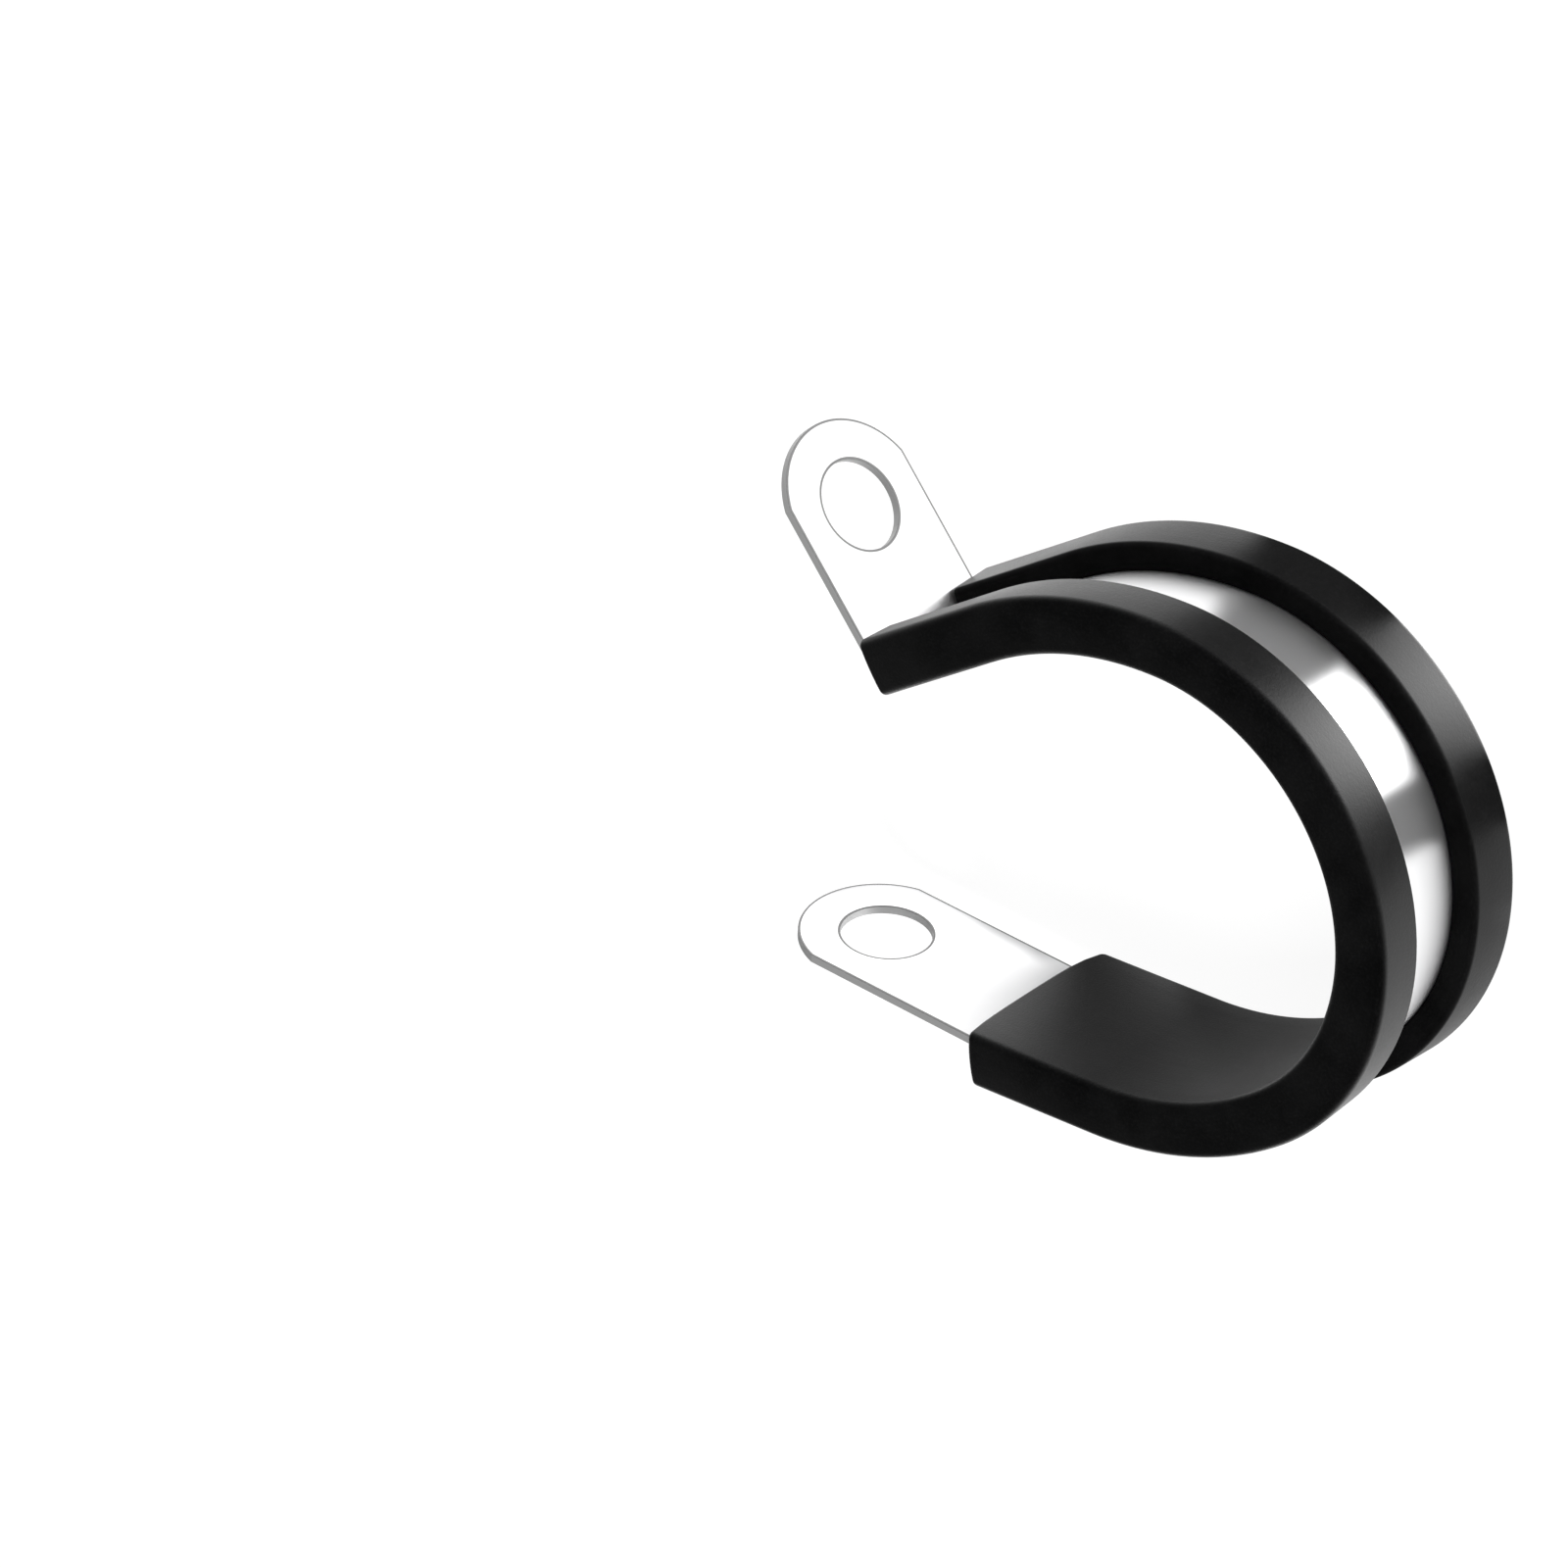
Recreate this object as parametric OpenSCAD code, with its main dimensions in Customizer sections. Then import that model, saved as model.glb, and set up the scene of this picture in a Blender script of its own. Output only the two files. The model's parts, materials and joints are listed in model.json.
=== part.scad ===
// Rubber lined P clip: a bent steel strip with a bolt hole in each tab, and a
// channel shaped rubber cushion pushed on round its loop. It is open, as it is
// supplied, and lies on the side of its cushion. Millimetres. The origin is the
// middle of the loop, half way across the strip, and +Z runs along the cable.

/* [Strip] */
// Width of the steel strip
strip_w = 12; // [10:0.5:16]
// Thickness of the steel strip
strip_t = 0.6; // [0.4:0.05:1.2]

/* [Loop] */
// Radius of the loop, at the middle of the strip
loop_r = 17.4; // [14:0.1:24]
// Angle that the loop turns through
loop_a = 141; // [125:1:155]
// Radius of the flatter curve between the lower arm and the loop
lower_flare_r = 25; // [20:0.5:40]
// Angle that this curve turns through
lower_flare_a = 36; // [20:1:45]
// Radius of the flatter curve between the loop and the upper arm
upper_flare_r = 26; // [20:0.5:40]
// Angle that this curve turns through
upper_flare_a = 34; // [20:1:45]
// Length of the straight lower arm, from the cushion's end
lower_arm_l = 10.5; // [6:0.5:16]
// Length of the straight upper arm, to the cushion's end
upper_arm_l = 11; // [6:0.5:16]

/* [Tabs] */
// Diameter of the bolt hole in each tab
hole_d = 6.6; // [4.5:0.1:8.4]
// How much larger the tip's radius is than half the strip's width
tip_extra = 0.3; // [0.05:0.05:2]
// Distance along the strip from the cushion's lower end to the hole
lower_hole_l = 13.6; // [9:0.1:24]
// Angle of the slight bend between the lower tab and the arm
lower_bend_a = 5.5; // [1:0.5:15]
// Radius of that bend, at the middle of the strip
lower_bend_r = 12; // [4:0.5:20]
// Distance from the corner of the sharp bend to the upper hole
upper_hole_l = 10.5; // [7:0.1:20]
// Angle of the sharp bend at the upper tab
upper_bend_a = 83; // [60:1:95]
// Inside radius of the sharp bend
upper_bend_r = 0.5; // [0.3:0.05:1]
// Flat stretch of strip between the cushion's upper end and the sharp bend
upper_tail_l = 0.2; // [0.1:0.05:2]

/* [Cushion] */
// Thickness of the rubber pad inside the strip
pad_t = 1.3; // [0.8:0.1:3]
// Thickness of the rubber beside each edge of the strip
side_t = 1.55; // [1:0.05:3]
// Height of the lips above the strip's outer face
lip_t = 2.2; // [1.5:0.1:4]
// How far each lip reaches in over the strip
lip_reach = 2.8; // [1.5:0.05:4]
// Radius of the cushion's outer edges
edge_r = 0.5; // [0.2:0.05:0.9]
// Radius of the lips' edges beside the groove
groove_edge_r = 0.4; // [0.2:0.05:0.9]

/* [Fit] */
// Clearance between the strip and the cushion's slot, on every side
slot_clear = 0.05; // [0.02:0.01:0.2]

/* [Hidden] */
$fn = 96;
// How far a cutting shape reaches past what it cuts
overlap = 1;
// How much further than its angle a curve is drawn before it is cut off
spare_a = 5;
// Size of the cube that cuts a curve off
cutter = 60;
// How far each run of the cushion reaches back into the one before it, so that
// a mesh of it is one body too. The strip's sharp bend is too tight for that
bite = 0.001;
$bite = 0;
slot_w = strip_w + 2 * slot_clear;
slot_t = strip_t + 2 * slot_clear;
cushion_w = slot_w + 2 * side_t;
groove_w = slot_w - 2 * lip_reach;
tip_r = strip_w / 2 + tip_extra;
bend_mid_r = upper_bend_r + strip_t / 2;
bend_setback = bend_mid_r * tan(upper_bend_a / 2);
lower_tab_l = lower_hole_l - lower_bend_r * lower_bend_a * PI / 180;
upper_tab_l = upper_hole_l - bend_setback;

// Each arm is a list of runs that start at the loop: [radius, angle] for a
// curve, with a negative radius where it bends away from the cable, and
// [0, length] for a straight. The cushion covers COVERED runs of each arm
LOWER_ARM = [[lower_flare_r, lower_flare_a], [0, lower_arm_l], [lower_bend_r, lower_bend_a]];
UPPER_ARM = [
    [upper_flare_r, upper_flare_a],
    [0, upper_arm_l],
    [0, upper_tail_l],
    [-bend_mid_r, upper_bend_a],
];
COVERED = 2;

function first(list, n) = [for (i = [0 : 1 : n - 1]) list[i]];
function rest(list) = [for (i = [1 : 1 : len(list) - 1]) list[i]];

// The next four draw a strip that starts at the origin and heads for +Y, with
// +X away from the cable. A section's X points away from the cable too, and
// its Y is along the cable, from the middle of the strip
module straight(length) {
    translate([0, length, 0]) rotate([90, 0, 0]) linear_extrude(length + $bite) children();
}

// A rotation is written out with six digits to each number, and that makes what
// it turns a hair larger or smaller. So an angle is turned in two goes, shared
// out so that one undoes what the other does, and the runs still meet exactly
function written(x) =
    let (unit = pow(10, floor(log(max(abs(x), 1e-9))) - 5)) unit * round(x / unit);
function growth(angle) = norm([written(cos(angle)), written(sin(angle))]) - 1;
function share(angle) =
    let (shares = [for (i = [-200 : 200]) angle / 2 + i / 100])
    let (faults = [for (a = shares) abs(growth(a) + growth(angle - a))])
    shares[search(min(faults), faults)[0]];

module turn(angle) {
    rotate(share(angle)) rotate(angle - share(angle)) children();
}

// Places its children where a curve ends
module after(radius, angle) {
    translate([-radius, 0, 0]) turn(sign(radius) * angle) translate([radius, 0, 0]) children();
}

// A curve is drawn a little too long and cut off square where it ends, so that
// its end is the very plane in which the next run starts
module curve(radius, angle) {
    bite_a = $bite / abs(radius) * 180 / PI;
    difference() {
        translate([-radius, 0, 0])
            mirror([radius < 0 ? 1 : 0, 0, 0])
                rotate(-bite_a)
                    rotate_extrude(angle = bite_a + angle + spare_a)
                        translate([abs(radius), 0]) children();
        after(radius, angle) translate([-cutter / 2, 0, -cutter / 2]) cube(cutter);
    }
}

// A chain of runs with the section children(0), and children(1) at its end
module chain(runs) {
    if (len(runs) == 0) {
        children(1);
    } else if (runs[0][0] == 0) {
        straight(runs[0][1]) children(0);
        translate([0, runs[0][1], 0]) chain(rest(runs)) { children(0); children(1); }
    } else {
        curve(runs[0][0], runs[0][1]) children(0);
        after(runs[0][0], runs[0][1]) chain(rest(runs)) { children(0); children(1); }
    }
}

// Both arms and the loop with the section children(0), children(1) at the
// lower end and children(2) at the upper one. The loop's middle is the origin,
// and the whole is turned so that the lower tab runs along X
module whole(lower_arm, upper_arm) {
    rotate(lower_flare_a + lower_bend_a - 90)
        translate([loop_r, 0, 0]) {
            mirror([0, 1, 0]) chain(lower_arm) { children(0); children(1); }
            chain(concat([[loop_r, loop_a]], upper_arm)) { children(0); children(2); }
        }
}

// A flat tab with a round tip and its hole, heading for +Y
module tab(hole_l) {
    rotate([90, 0, 90])
        linear_extrude(strip_t, center = true)
            difference() {
                intersection() {
                    union() {
                        translate([0, -strip_w / 2]) square([hole_l, strip_w]);
                        translate([hole_l, 0]) circle(tip_r);
                    }
                    translate([0, -strip_w / 2]) square([hole_l + tip_r + overlap, strip_w]);
                }
                translate([hole_l, 0]) circle(d = hole_d);
            }
}

module strip_section() {
    square([strip_t, strip_w], center = true);
}

// What a rounded corner takes off a square one that points to +X +Y
module corner_cut(radius) {
    translate([-radius, -radius])
        difference() {
            square(radius + overlap);
            circle(radius);
        }
}

// The channel: a pad, two side walls, and two lips that hold the strip
module cushion_section() {
    inner = -slot_t / 2 - pad_t;
    outer = slot_t / 2 + lip_t;
    difference() {
        translate([inner, -cushion_w / 2]) square([outer - inner, cushion_w]);
        square([slot_t, slot_w], center = true);
        translate([0, -groove_w / 2]) square([outer + overlap, groove_w]);
        for (side = [0, 1]) mirror([0, side]) {
            translate([outer, cushion_w / 2]) corner_cut(edge_r);
            translate([inner, cushion_w / 2]) mirror([1, 0]) corner_cut(edge_r);
            translate([outer, groove_w / 2]) mirror([0, 1]) corner_cut(groove_edge_r);
        }
    }
}

// One strip of stainless steel, bent round the loop, with a tab at each end
module steel_band() {
    color("silver") whole(LOWER_ARM, UPPER_ARM) {
        strip_section();
        tab(lower_tab_l);
        tab(upper_tab_l);
    }
}

// One length of moulded rubber channel, pushed on round the strip
module rubber_cushion() {
    color("dimgray") whole(first(LOWER_ARM, COVERED), first(UPPER_ARM, COVERED), $bite = bite) {
        cushion_section();
        nothing();
        nothing();
    }
}

// The cushion ends square, with nothing beyond
module nothing() {}

steel_band();
rubber_cushion();
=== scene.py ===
"""A rubber lined P clip, open as it is supplied, lying on its side on a white table.

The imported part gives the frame. Its loop turns about Z, its middle is the origin, and all lengths here are
millimetres until a mesh is finished.
"""

import json
from math import cos, degrees, pi, radians, sin

import bmesh
import bpy
from mathutils import Matrix, Quaternion, Vector


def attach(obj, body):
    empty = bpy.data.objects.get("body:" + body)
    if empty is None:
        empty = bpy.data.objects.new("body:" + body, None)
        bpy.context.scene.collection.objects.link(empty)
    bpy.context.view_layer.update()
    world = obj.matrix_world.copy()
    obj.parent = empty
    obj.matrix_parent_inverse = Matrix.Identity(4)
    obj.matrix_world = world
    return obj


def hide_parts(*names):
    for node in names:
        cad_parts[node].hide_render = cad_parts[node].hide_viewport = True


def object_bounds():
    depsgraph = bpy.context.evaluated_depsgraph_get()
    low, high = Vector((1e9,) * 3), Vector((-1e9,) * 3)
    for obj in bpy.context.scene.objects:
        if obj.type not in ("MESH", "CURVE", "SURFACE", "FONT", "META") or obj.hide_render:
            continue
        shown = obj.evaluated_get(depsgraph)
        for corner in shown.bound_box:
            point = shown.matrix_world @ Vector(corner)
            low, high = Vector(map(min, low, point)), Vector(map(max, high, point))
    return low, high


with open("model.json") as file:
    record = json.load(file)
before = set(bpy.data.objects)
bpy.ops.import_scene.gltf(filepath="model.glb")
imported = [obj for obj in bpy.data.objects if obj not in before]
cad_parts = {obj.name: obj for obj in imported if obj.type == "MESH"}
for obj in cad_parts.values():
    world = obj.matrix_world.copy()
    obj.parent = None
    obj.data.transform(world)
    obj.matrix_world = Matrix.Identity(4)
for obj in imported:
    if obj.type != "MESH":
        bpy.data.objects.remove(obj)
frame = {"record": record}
cad_low, cad_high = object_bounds()
MM = 0.001
scene = bpy.context.scene
scene.view_settings.view_transform = "Standard"


# ---------------------------------------------------------------------------------------------------------
# The camera looks down on the clip from above its open side, and is rolled so that the lower tab runs across
# the picture.
camera_place = Vector((226.59, 255.82, 331.16)) * MM
camera_aim = Vector((-32.7, -7.9, 5.17)) * MM
camera_roll = radians(-120.3)

camera = bpy.data.objects.new("camera", bpy.data.cameras.new("camera"))
camera.data.lens = 161.9
camera.data.sensor_width = 36
camera.data.clip_start = 0.01
camera.location = camera_place
level_turn = (camera_aim - camera_place).to_track_quat("-Z", "Y")
camera.rotation_euler = (level_turn @ Quaternion((0, 0, 1), camera_roll)).to_euler()
scene.collection.objects.link(camera)
scene.camera = camera


# ---------------------------------------------------------------------------------------------------------
# The table is a plain white sheet that takes the clip's shadow. What the steel and the rubber mirror in it is
# painted on it for glossy rays, laid out round the clip: a painted glow that stands for a bright softbox, with
# painted darker edges on either side of it.
class Tone:
    """A shader socket that can be added, multiplied and so on, each time with a Math node."""

    def __init__(self, tree, socket):
        self.tree, self.socket = tree, socket

    def node(self, kind, settings=(), output=0, **values):
        """Adds a node with its settings, fills its sockets by name or as n0, and gives one output."""
        made = self.tree.nodes.new("ShaderNode" + kind)
        for name, value in dict(settings).items():
            setattr(made, name, value)
        for name, value in values.items():
            self.fill(made, int(name[1:]) if name[0] == "n" and name[1:].isdigit() else name, value)
        return Tone(self.tree, made.outputs[output])

    def fill(self, made, name, value):
        socket = made.inputs[name if isinstance(name, int) else name.replace("_", " ")]
        if isinstance(value, Tone):
            self.tree.links.new(value.socket, socket)
        else:
            socket.default_value = value

    def maths(self, operation, *values):
        filled = {f"n{i}": value for i, value in enumerate(values)}
        return self.node("Math", {"operation": operation}, **filled)

    def __add__(self, other):
        return self.maths("ADD", self, other)

    def __sub__(self, other):
        return self.maths("SUBTRACT", self, other)

    def __rsub__(self, other):
        return self.maths("SUBTRACT", other, self)

    def __mul__(self, other):
        return self.maths("MULTIPLY", self, other)

    def __abs__(self):
        return self.maths("ABSOLUTE", self)

    __radd__, __rmul__ = __add__, __mul__

    def parts(self):
        """The X, Y and Z of a vector."""
        split = self.node("SeparateXYZ", n0=self).socket.node
        return [Tone(self.tree, output) for output in split.outputs]

    def step(self, low, high):
        """0 below low, 1 above high, and a soft ramp between them."""
        kind = {"interpolation_type": "SMOOTHSTEP"}
        return self.node("MapRange", kind, Value=self, From_Min=low, From_Max=high)

    def mix(self, first, second):
        """A colour between two others, by this tone."""
        return self.node("Mix", {"data_type": "RGBA"}, output=2, n0=self, n6=first, n7=second)


def new_material(name):
    """An empty material, its output node, and a Tone to start building from."""
    material = bpy.data.materials.new(name)
    material.use_nodes = True
    material.node_tree.nodes.clear()
    out = material.node_tree.nodes.new("ShaderNodeOutputMaterial")
    return material, out, Tone(material.node_tree, None)


TABLE_SIZE = 6000
TABLE_WHITE = (0.86, 0.86, 0.86, 1)
# The sheet's brightness to the camera, and how much of its light is real, so that a shadow shows on it
shown_white, shadow_share = 1.1, 0.16

# Painted reflection: what glossy rays see on the sheet, where 1 is white and the painted softbox glow is far
# brighter. It starts as one tone under the clip and another further out
near_glow, far_glow = 1.1, 2.3
near_ring, far_ring = 23 * MM, 32 * MM
# Bearings on the loop at which steel sees each next tone, the tone, and how soft the change is. They count
# only on the half of the sheet behind the loop
tones_round_loop = [(22.5, 0.01, 0.6), (36.5, 3.5, 1.2), (42, 11, 3.5), (58, 4, 3.5), (63.5, 0.12, 0.7)]
behind_from, behind_full = -2 * MM, 2 * MM
camera_bearing, seen_radius = 45.5, 17.7 * MM
# Painted light: the clip's open side is bright again, from this bearing on the loop and between these on the
# sheet
open_side_glow, open_from, open_blur = 2.2, 93, 1.0
open_bearing, open_bearing_full = 107, 115
# Painted shade: to glossy rays the sheet inside the loop is darker
inside_shade, shaded_inside, shaded_until = 0.6, 13 * MM, 21 * MM
# Painted shade and light: past the line that mirrors the cushion's lower end the sheet is darker to glossy
# rays, and short of it, by the lower tab, it is brighter. The line has a foot and a direction square to it
end_line_foot, end_line_way = (-25 * MM, -18 * MM), (0.69, 0.72)
arm_shade, arm_from, arm_full = 0.85, 3.5 * MM, 7 * MM
arm_x, arm_x_end, arm_y, arm_y_end = -16 * MM, 0, -6 * MM, 0
tab_lift, tab_full, tab_until = 0.45, -1 * MM, 2 * MM
tab_y, tab_y_end = -8 * MM, 0
# Further off it is plain white
plain_from, plain_beyond = 60 * MM, 95 * MM

table_finish, table_out, start = new_material("white_table")
table_x, table_y, _ = start.node("TexCoord", output="Object").parts()


def past(angle, blur):
    """1 on the far side of the line along which the steel at a bearing mirrors the camera's view."""
    foot, ahead = radians(angle), radians(2 * angle - camera_bearing)
    off_x = table_x - seen_radius * cos(foot)
    off_y = table_y - seen_radius * sin(foot)
    return (off_y * cos(ahead) - off_x * sin(ahead)).step(-blur * MM, blur * MM)


def blend(share, first, second):
    """A tone that goes from the first to the second as the share goes from 0 to 1."""
    return first + share * (second - first)


bearing = start.maths("ARCTAN2", table_y, table_x) * degrees(1)
from_middle = start.maths("SQRT", table_x * table_x + table_y * table_y)
behind = table_y.step(behind_from, behind_full)
mirrored = blend(from_middle.step(near_ring, far_ring), near_glow, far_glow)
for angle, tone, blur in tones_round_loop:
    mirrored = blend(past(angle, blur) * behind, mirrored, tone)
open_ahead = abs(bearing).step(open_bearing, open_bearing_full)
open_side = start.maths("MAXIMUM", past(open_from, open_blur) * behind, open_ahead)
mirrored = blend(open_side, mirrored, open_side_glow)
mirrored = mirrored * (1 - inside_shade * (1 - from_middle.step(shaded_inside, shaded_until)))
past_end = end_line_way[0] * (table_x - end_line_foot[0]) + end_line_way[1] * (table_y - end_line_foot[1])
over_arm = past_end.step(arm_from, arm_full) * (1 - table_x.step(arm_x, arm_x_end))
over_arm = over_arm * (1 - table_y.step(arm_y, arm_y_end))
over_tab = (1 - past_end.step(tab_full, tab_until)) * (1 - table_y.step(tab_y, tab_y_end))
mirrored = mirrored * (1 - arm_shade * over_arm) * (1 + tab_lift * over_tab)
mirrored = blend(from_middle.step(plain_from, plain_beyond), mirrored, 1)

is_camera = start.node("LightPath", output="Is Camera Ray")
is_glossy = start.node("LightPath", output="Is Glossy Ray")
glow = start.node("Emission", n0=is_camera * shown_white + is_glossy * mirrored)
paper = start.node("BsdfDiffuse", n0=TABLE_WHITE)
seen = (is_camera + is_glossy) * (1 - shadow_share)
start.tree.links.new(start.node("MixShader", n0=seen, n1=paper, n2=glow).socket, table_out.inputs["Surface"])

table_mesh = bmesh.new()
bmesh.ops.create_grid(table_mesh, x_segments=1, y_segments=1, size=TABLE_SIZE / 2 * MM)
bmesh.ops.translate(table_mesh, verts=table_mesh.verts, vec=(0, 0, cad_low[2]))
table = bpy.data.objects.new("table", bpy.data.meshes.new("table"))
table_mesh.to_mesh(table.data)
table_mesh.free()
table.data.materials.append(table_finish)
scene.collection.objects.link(table)

# The room is white to the camera, and otherwise goes from its walls' tone to the dark of its ceiling
wall_tone, ceiling_tone = 0.5, 0.05
wall_top, ceiling_edge = -0.05, 0.6

scene.world = bpy.data.worlds.new("studio")
scene.world.use_nodes = True
room = scene.world.node_tree
room.nodes.clear()
start = Tone(room, None)
_, _, up = start.node("TexCoord", output="Generated").parts()
room_tone = wall_tone + (ceiling_tone - wall_tone) * up.step(wall_top, ceiling_edge)
is_camera = start.node("LightPath", output="Is Camera Ray")
room_out = room.nodes.new("ShaderNodeOutputWorld")
shown_room = start.node("Background", n0=is_camera + (1 - is_camera) * room_tone)
room.links.new(shown_room.socket, room_out.inputs["Surface"])


def add_softbox(name, place, size, watts):
    """A square area lamp that faces the clip."""
    lamp = bpy.data.lights.new(name, "AREA")
    lamp.size, lamp.energy = size * MM, watts
    box = bpy.data.objects.new(name, lamp)
    box.location = Vector(place) * MM
    box.rotation_euler = (-box.location).to_track_quat("-Z", "Y").to_euler()
    box.visible_glossy = False
    scene.collection.objects.link(box)


add_softbox("side_softbox", (160, 420, 150), 300, 4.5)
add_softbox("top_softbox", (170, -230, 460), 300, 3.5)


# ---------------------------------------------------------------------------------------------------------
# The band is slit from rolled stainless strip, so its faces are bright with a faint grain, and its cut edges
# are greyer. A painted dark outline along its corners and holes, and a painted shade along the lower tab's far
# edge, stand in for darker reflections. It is stamped flat, with a round tip and a hole at each end, and then
# bent. So each piece here is made flat too, and then bent along the same line.
STRIP_W, STRIP_T = 12, 0.6
HOLE_D, TIP_R = 6.6, 6.3
LOWER_HOLE, LOWER_BEND, LOWER_BEND_R = 13.6, radians(5.5), 12
LOWER_ARM, LOWER_FLARE, LOWER_FLARE_R = 10.5, radians(36), 25
LOOP, LOOP_R = radians(141), 17.4
UPPER_FLARE, UPPER_FLARE_R, UPPER_ARM, UPPER_TAIL = radians(34), 26, 11, 0.2
SHARP_BEND, SHARP_BEND_R = radians(83), 0.8
UPPER_HOLE = 10.5
BROKEN_EDGE = 0.045

# The line is the middle of the strip, from the lower bolt hole to the upper one. A flat piece has X along it,
# Y away from the cable and Z across. Each run of the line is a length and how far it turns to the left, which
# is towards the cable
lower_tab = LOWER_HOLE - LOWER_BEND_R * LOWER_BEND
upper_tab = UPPER_HOLE - SHARP_BEND_R * sin(SHARP_BEND) / (1 + cos(SHARP_BEND))
runs = [
    (lower_tab, 0),
    (LOWER_BEND_R * LOWER_BEND, LOWER_BEND),
    (LOWER_ARM, 0),
    (LOWER_FLARE_R * LOWER_FLARE, LOWER_FLARE),
    (LOOP_R * LOOP, LOOP),
    (UPPER_FLARE_R * UPPER_FLARE, UPPER_FLARE),
    (UPPER_ARM, 0),
    (UPPER_TAIL, 0),
    (SHARP_BEND_R * SHARP_BEND, -SHARP_BEND),
    (upper_tab, 0),
]
FIRST_COVERED, LAST_COVERED = 2, 6
run_ends = [sum(length for length, turn in runs[: i + 1]) for i in range(len(runs))]
line_length = run_ends[-1]
cushion_start, cushion_end = run_ends[FIRST_COVERED - 1], run_ends[LAST_COVERED]
# How far one cut across a piece turns from the last, on a long run and on a short one
long_run, fine_turn, coarse_turn = 1.5, radians(1.5), radians(7)
NEAR = 0.001


def walk(run, distance):
    """Where a run leads after a distance: how far ahead, how far to the left, and how far it has turned."""
    length, turn = run
    if not turn:
        return distance, 0, 0
    angle, radius = turn * distance / length, length / turn
    return radius * sin(angle), radius * (1 - cos(angle)), angle


# Where each run starts, and its heading, worked out once from the lower hole on
lower_hole = next(mount for mount in frame["record"]["mounts"] if mount["name"] == "lower_tab_hole")
starts = [(Vector(lower_hole["pos_m"]).to_2d() / MM, 0.0)]
for run in runs:
    ahead, left, turned = walk(run, run[0])
    point, heading = starts[-1]
    step = Matrix.Rotation(heading, 2) @ Vector((ahead, left))
    starts.append((point + step, heading + turned))


def bend(flat, last_run):
    """Moves a point of a flat piece to its place on the bent one. Past its last run it goes straight on."""
    index = next((i for i, end in enumerate(run_ends) if flat.x <= end or i == last_run))
    point, heading = starts[index]
    ahead, left, turned = walk(runs[index], flat.x - (run_ends[index] - runs[index][0]))
    foot = point + Matrix.Rotation(heading, 2) @ Vector((ahead, left))
    away = Matrix.Rotation(heading + turned, 2) @ Vector((0, -1))
    return Vector((*(foot + away * flat.y), flat.z))


def stations(low, high):
    """Distances along the line at which a flat piece is cut across, so that it bends smoothly."""
    marks = []
    for (length, turn), end in zip(runs, run_ends):
        pieces = max(1, round(abs(turn) / (fine_turn if length > long_run else coarse_turn)))
        marks += [end - length + length * i / pieces for i in range(1, pieces + 1)]
    return [mark for mark in marks if low + 0.01 < mark < high - 0.01] + [high]


def of_kind(kind, geom):
    """The vertices, edges or faces among what an operator made."""
    return [item for item in geom if isinstance(item, kind)]


def finish_piece(name, flat_mesh, material, sharp_angle, last_run):
    """Bends a flat piece, keeps its flat shape as an attribute for the material, and makes it an object."""
    flat_place = flat_mesh.verts.layers.float_vector.new("flat_place")
    for vert in flat_mesh.verts:
        vert[flat_place] = vert.co
        vert.co = bend(vert.co, last_run) * MM
    bmesh.ops.recalc_face_normals(flat_mesh, faces=flat_mesh.faces)
    mesh = bpy.data.meshes.new(name)
    flat_mesh.to_mesh(mesh)
    flat_mesh.free()
    mesh.materials.append(material)
    mesh.shade_smooth()
    mesh.set_sharp_from_angle(angle=radians(sharp_angle))
    piece = bpy.data.objects.new(name, mesh)
    scene.collection.objects.link(piece)
    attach(piece, "root")
    return piece


# The steel's own tone on its faces, a painted shade along the lower tab's far edge, a painted dark outline
# along the broken corners and holes, and the greyer tone of the cut edges
FACE_TONE, PAINTED_EDGE_SHADE_TONE = (0.92, 0.92, 0.925, 1), (0.42, 0.42, 0.425, 1)
PAINTED_OUTLINE_TONE, EDGE_TONE = (0.2, 0.2, 0.2, 1), (0.48, 0.48, 0.48, 1)
CORNER_W, CORNER_FADE, EDGE_DEPTH = 0.14, 0.22, 0.05
PAINTED_EDGE_SHADE_W, PAINTED_EDGE_SHADE_ACROSS, PAINTED_EDGE_SHADE_ALONG = 1.8, (-2, 3), (9, 12)

band_finish, band_out, start = new_material("rolled_stainless")
flat = start.node("Attribute", {"attribute_name": "flat_place"}, output="Vector")
along, outward, across = flat.parts()
stretched = start.node("Mapping", n0=flat, Scale=(0.05, 6, 9))
grain = start.node("TexNoise", Vector=stretched, Scale=1.0, Detail=4.0)
cloud = start.node("TexNoise", Vector=flat, Scale=0.35, Detail=3.0)
from_hole = start.maths("MINIMUM", along, line_length - along)
from_centre = start.maths("SQRT", from_hole * from_hole + across * across)
# Only the tip is round: inward of its hole that outline is put out of reach
to_tip = TIP_R - from_centre + line_length * from_hole.step(-0.2, 0)
to_outline = start.maths("MINIMUM", STRIP_W / 2 - abs(across), to_tip)
# Near the outline and the holes the steel is duller and rougher, and its colour holds a painted dark outline
# that stands in for the darker reflection in the broken corners
cut = 1 - start.maths("MINIMUM", to_outline, from_centre - HOLE_D / 2).step(CORNER_W, CORNER_FADE)
edge = 1 - abs(outward).step(STRIP_T / 2 - EDGE_DEPTH - 0.01, STRIP_T / 2 - 0.01)
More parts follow.
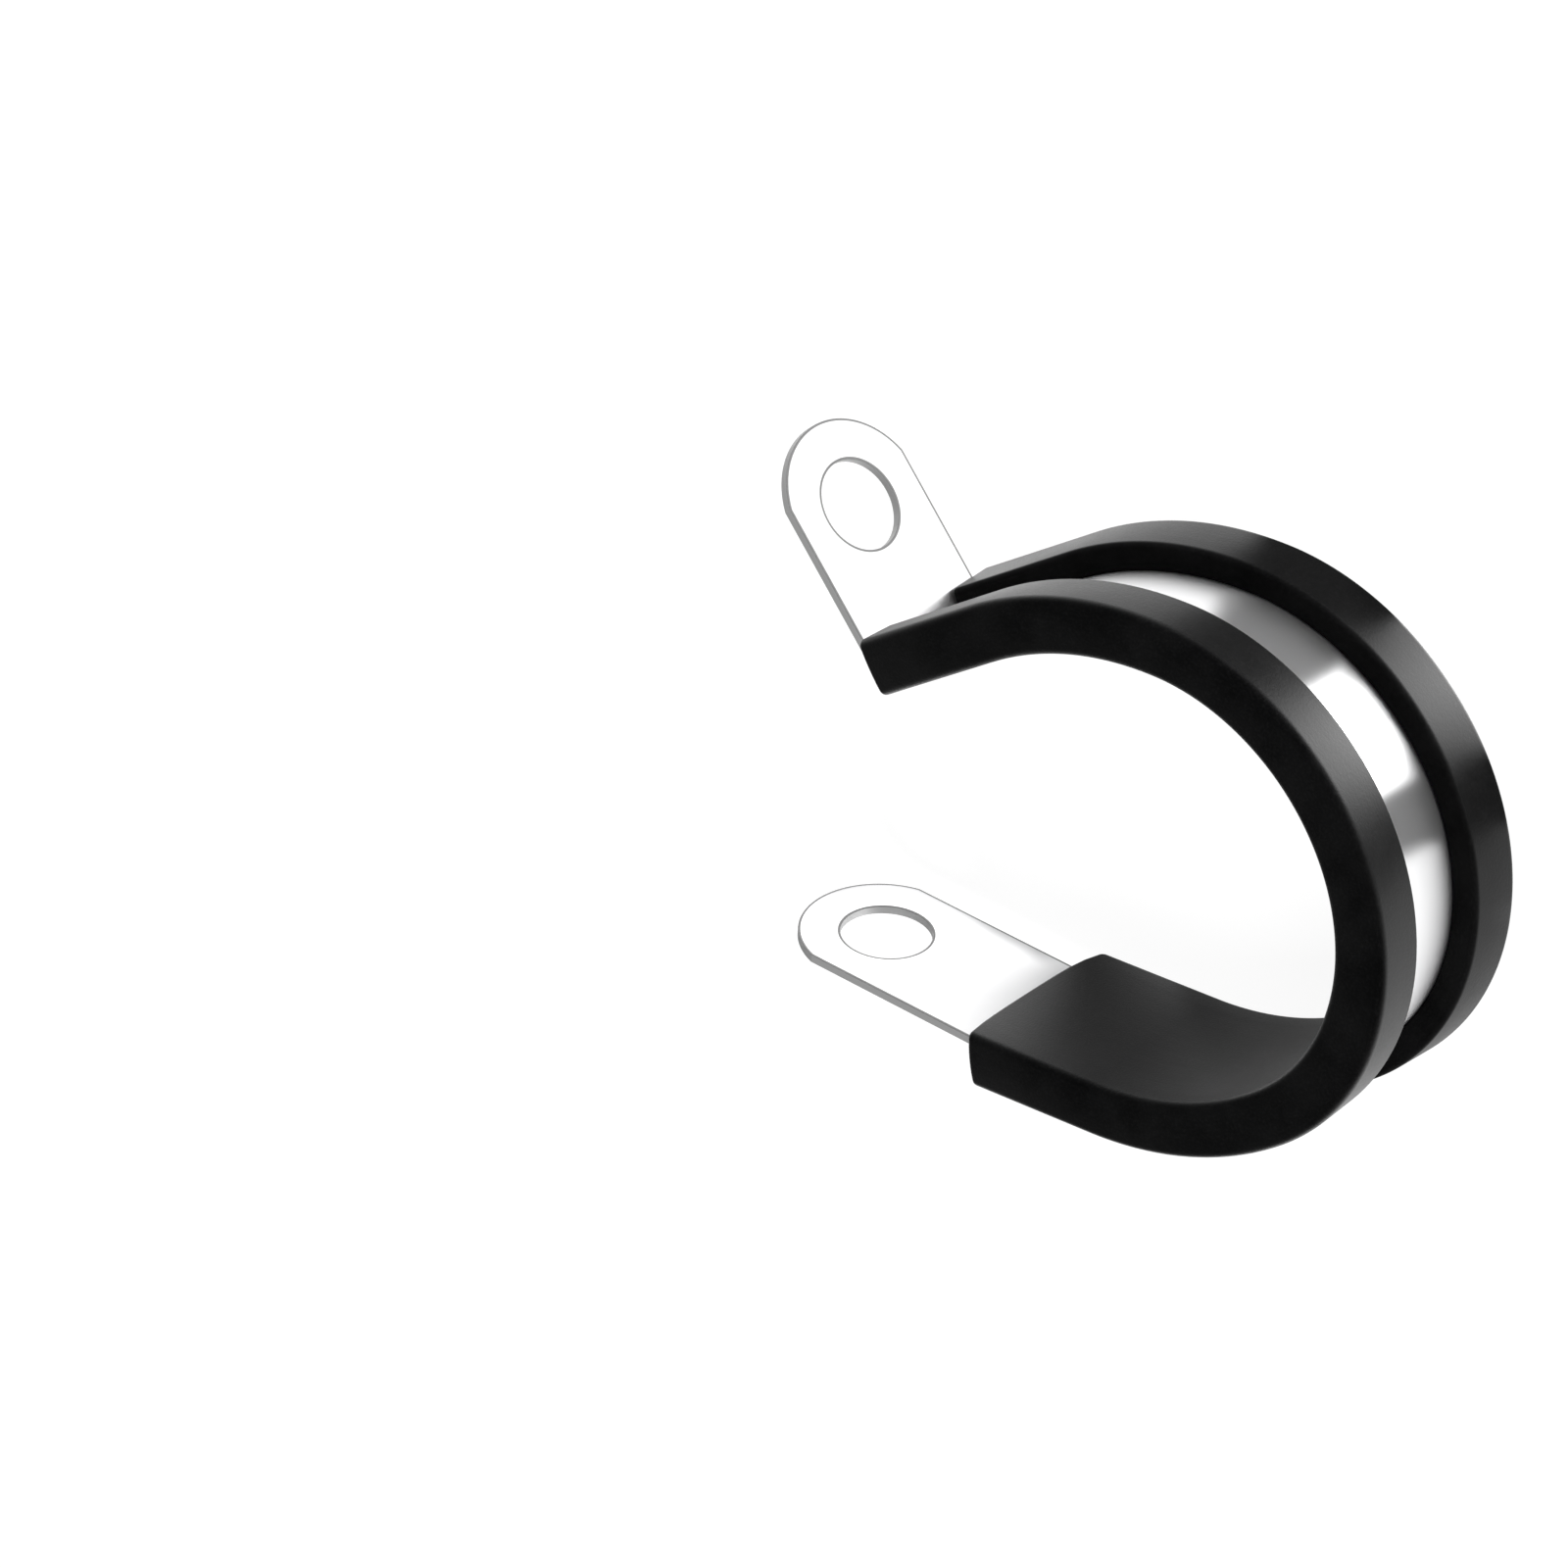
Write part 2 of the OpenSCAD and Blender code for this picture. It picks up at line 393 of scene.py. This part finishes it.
# Painted shade: a darker stretch of colour along the lower tab's far edge stands in for a darker reflection
# there
painted_edge_shade = (1 - to_outline.step(0, PAINTED_EDGE_SHADE_W)) * (1 - across.step(*PAINTED_EDGE_SHADE_ACROSS))
painted_edge_shade = painted_edge_shade * (1 - along.step(*PAINTED_EDGE_SHADE_ALONG))
steel_tone = cut.mix(painted_edge_shade.mix(FACE_TONE, PAINTED_EDGE_SHADE_TONE), edge.mix(PAINTED_OUTLINE_TONE, EDGE_TONE))
steel = start.tree.nodes.new("ShaderNodeBsdfPrincipled")
start.fill(steel, "Base Color", steel_tone)
start.fill(steel, "Metallic", 1 - 0.4 * cut)
start.fill(steel, "Roughness", 0.27 + 0.05 * grain + 0.04 * cloud + 0.12 * cut)
start.fill(steel, "Normal", start.node("Bump", Strength=0.08, Distance=0.00002, Height=grain))
steel.inputs["Anisotropic"].default_value = 1
steel.inputs["Anisotropic Rotation"].default_value = 0.25
start.tree.links.new(steel.outputs[0], band_out.inputs["Surface"])


def add_tab(sheet, hole, inward):
    """Adds a tab to the sheet: a round tip with a hole at its middle, and a straight stretch inward."""
    on_side = Matrix.Rotation(pi / 2, 4, "X")
    disc = bmesh.new()
    bmesh.ops.create_circle(disc, cap_ends=True, segments=96, radius=TIP_R, matrix=on_side)
    for place, way in (
        ((0, 0, STRIP_W / 2), (0, 0, 1)), ((0, 0, -STRIP_W / 2), (0, 0, -1)), ((0, 0, 0), (1, 0, 0)),
    ):
        geom = disc.verts[:] + disc.edges[:] + disc.faces[:]
        bmesh.ops.bisect_plane(disc, geom=geom, plane_co=place, plane_no=way, clear_outer=True)
    root = [edge for edge in disc.edges if all(abs(vert.co.x) < NEAR for vert in edge.verts)]
    grown = bmesh.ops.extrude_edge_only(disc, edges=root)["geom"]
    bmesh.ops.translate(disc, verts=of_kind(bmesh.types.BMVert, grown), vec=(abs(inward), 0, 0))
    bmesh.ops.dissolve_faces(disc, faces=disc.faces)
    bmesh.ops.create_circle(disc, segments=64, radius=HOLE_D / 2, matrix=on_side)
    bmesh.ops.delete(disc, geom=disc.faces, context="FACES_ONLY")
    bmesh.ops.triangle_fill(disc, use_beauty=True, edges=disc.edges[:])
    if inward < 0:
        bmesh.ops.rotate(disc, verts=disc.verts, matrix=Matrix.Rotation(pi, 3, "Y"))
    bmesh.ops.translate(disc, verts=disc.verts, vec=(hole, 0, 0))
    part = bpy.data.meshes.new("tab")
    disc.to_mesh(part)
    disc.free()
    sheet.from_mesh(part)
    bpy.data.meshes.remove(part)


band = bmesh.new()
add_tab(band, 0, lower_tab)
add_tab(band, line_length, -upper_tab)
across_cut = [edge for edge in band.edges if all(abs(vert.co.x - lower_tab) < NEAR for vert in edge.verts)]
before = lower_tab
for mark in stations(lower_tab, line_length - upper_tab):
    grown = bmesh.ops.extrude_edge_only(band, edges=across_cut)["geom"]
    across_cut = of_kind(bmesh.types.BMEdge, grown)
    bmesh.ops.translate(band, verts=of_kind(bmesh.types.BMVert, grown), vec=(mark - before, 0, 0))
    before = mark
bmesh.ops.remove_doubles(band, verts=band.verts, dist=NEAR)
bmesh.ops.recalc_face_normals(band, faces=band.faces)
thick = bmesh.ops.extrude_face_region(band, geom=band.faces[:])["geom"]
bmesh.ops.translate(band, verts=of_kind(bmesh.types.BMVert, thick), vec=(0, STRIP_T, 0))
bmesh.ops.translate(band, verts=band.verts, vec=(0, -STRIP_T / 2, 0))
bmesh.ops.recalc_face_normals(band, faces=band.faces)
corners = [edge for edge in band.edges if edge.calc_face_angle(0) > radians(60)]
bmesh.ops.bevel(
    band, geom=corners, offset=BROKEN_EDGE, offset_type="OFFSET", segments=2, profile=0.5, affect="EDGES",
    material=-1, clamp_overlap=True,
)
band_piece = finish_piece("strip_band", band, band_finish, 12, len(runs) - 1)
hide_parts("steel_band")


# ---------------------------------------------------------------------------------------------------------
# The cushion is one length of moulded rubber channel, cut by hand at both ends. A pad lies inside the strip,
# and two lips fold in over its edges and hold it on. Rubber is matt, with a soft sheen and a fine grain.
SLOT_CLEAR = 0.05
PAD_T, SIDE_T, LIP_T, LIP_REACH = 1.3, 1.55, 2.2, 2.8
SIDE_CROWN, CROWN_BLEND, LIP_SLOPE = 0.22, 1.5, 0.2
EDGE_R, GROOVE_EDGE_R, LIP_EDGE_R, END_EDGE_R = 0.5, 0.4, 0.15, 0.3
RUBBER_TONE, DUSTY_TONE = (0.0008, 0.0008, 0.00085, 1), (0.0045, 0.0045, 0.0046, 1)

slot_y, slot_z = STRIP_T / 2 + SLOT_CLEAR, STRIP_W / 2 + SLOT_CLEAR
pad_y, lip_y = -slot_y - PAD_T, slot_y + LIP_T
side_z, lip_z = slot_z + SIDE_T, slot_z - LIP_REACH

rubber_finish, rubber_out, start = new_material("moulded_rubber")
flat = start.node("Attribute", {"attribute_name": "flat_place"}, output="Vector")
_, outward, across = flat.parts()
pores = start.node("TexNoise", Vector=flat, Scale=5.5, Detail=4.0, Roughness=0.6)
stretched = start.node("Mapping", n0=flat, Scale=(0.12, 1.6, 1.6))
drag = start.node("TexNoise", Vector=stretched, Scale=1.0, Detail=3.0)
bloom = start.node("TexNoise", Vector=flat, Scale=0.28, Detail=3.0, Roughness=0.55)
dusty = 0.4 * bloom.step(0.3, 0.7) + 0.6 * pores.step(0.45, 0.75)
# The mould leaves the walls of the groove rough
in_groove = outward.step(0.1, 0.2) * (1 - abs(across).step(lip_z + 0.1, lip_z + 0.35))
rubber = start.tree.nodes.new("ShaderNodeBsdfPrincipled")
start.fill(rubber, "Base Color", dusty.mix(RUBBER_TONE, DUSTY_TONE))
start.fill(rubber, "Roughness", 0.33 + 0.08 * bloom + 0.12 * pores + 0.55 * in_groove)
start.fill(rubber, "Normal", start.node("Bump", Strength=0.5, Distance=0.00003, Height=pores + 0.5 * drag))
rubber.inputs["Specular IOR Level"].default_value = 0.22
start.tree.links.new(rubber.outputs[0], rubber_out.inputs["Surface"])

# Half of the channel's section, as its Y, its Z and the radius of each corner, and the points that divide the
# pad, so that its cut end can bow
half_section = [
    (pad_y, side_z - SIDE_CROWN, EDGE_R),
    ((pad_y + lip_y) / 2, side_z, CROWN_BLEND),
    (lip_y, side_z - SIDE_CROWN, EDGE_R),
    (lip_y - LIP_SLOPE, lip_z, GROOVE_EDGE_R),
    (slot_y, lip_z, LIP_EDGE_R),
    (slot_y, slot_z, 0),
    (-slot_y, slot_z, 0),
]
pad_marks = [-5.6, -4.2, -2.8, -1.4, 0, 1.4, 2.8, 4.2, 5.6]
section = half_section + [(-slot_y, -z, 0) for z in pad_marks]
section += [(y, -z, r) for y, z, r in reversed(half_section)] + [(pad_y, z, 0) for z in pad_marks]
cushion = bmesh.new()
corner_radius = {cushion.verts.new((cushion_start, y, z)): radius for y, z, radius in section}
cushion.faces.new(corner_radius)
for radius in sorted({r for _, _, r in section if r}):
    bmesh.ops.bevel(
        cushion, geom=[vert for vert, r in corner_radius.items() if r == radius], offset=radius, segments=6,
        profile=0.5, affect="VERTICES", material=-1,
    )
    corner_radius = {vert: r for vert, r in corner_radius.items() if vert.is_valid}
before = cushion_start
face = cushion.faces[:]
for mark in stations(cushion_start, cushion_end):
    grown = bmesh.ops.extrude_face_region(cushion, geom=face, use_keep_orig=True)["geom"]
    if before > cushion_start:
        bmesh.ops.delete(cushion, geom=face, context="FACES_ONLY")
    face = of_kind(bmesh.types.BMFace, grown)
    bmesh.ops.translate(cushion, verts=of_kind(bmesh.types.BMVert, grown), vec=(mark - before, 0, 0))
    before = mark
bmesh.ops.recalc_face_normals(cushion, faces=cushion.faces)


def on_rim(edge, end):
    """Whether an edge runs round the outside of the channel's cut end, and not round its slot."""
    lips_from, pad_from, sides_from = slot_y + LIP_EDGE_R + 0.01, -slot_y - 0.01, slot_z + 0.01
    return all(
        abs(vert.co.x - end) < NEAR
        and (vert.co.y > lips_from or vert.co.y < pad_from or abs(vert.co.z) > sides_from)
        for vert in edge.verts
    )


for end in (cushion_start, cushion_end):
    bmesh.ops.bevel(
        cushion, geom=[edge for edge in cushion.edges if on_rim(edge, end)], offset=END_EDGE_R,
        offset_type="OFFSET", segments=3, profile=0.5, affect="EDGES", material=-1, clamp_overlap=False,
    )
bmesh.ops.dissolve_degenerate(cushion, dist=NEAR, edges=cushion.edges)

# The lower end bows out over the tab. Its corners are pulled back, and its lips a little more than its pad
pad_bow, near_pull, far_pull, corner_power, lip_pull = -0.55, 0.45, 1.05, 4, 0.4
# The lips at the upper end reach towards the bend, further at their tops, and less on the side that lies up
lip_root, lip_tail = 0.35, 0.6
reach_full, reach_fade = 6.5, 3
for vert in cushion.verts:
    height = (vert.co.y - pad_y) / (lip_y - pad_y)
    if vert.co.x < cushion_start + END_EDGE_R + 0.01:
        pull = near_pull if vert.co.z > 0 else far_pull
        vert.co.x += pad_bow + pull * (vert.co.z / side_z) ** corner_power + lip_pull * height ** 2
    elif vert.co.x > cushion_end - END_EDGE_R - 0.01 and vert.co.y > slot_y - 0.01:
        reach = min(lip_tail, lip_root + (vert.co.y - slot_y) / 2)
        vert.co.x += reach * min(1, max(0, (reach_full - vert.co.z) / reach_fade))
cushion_piece = finish_piece("rubber_channel", cushion, rubber_finish, 40, LAST_COVERED)
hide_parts("rubber_cushion")
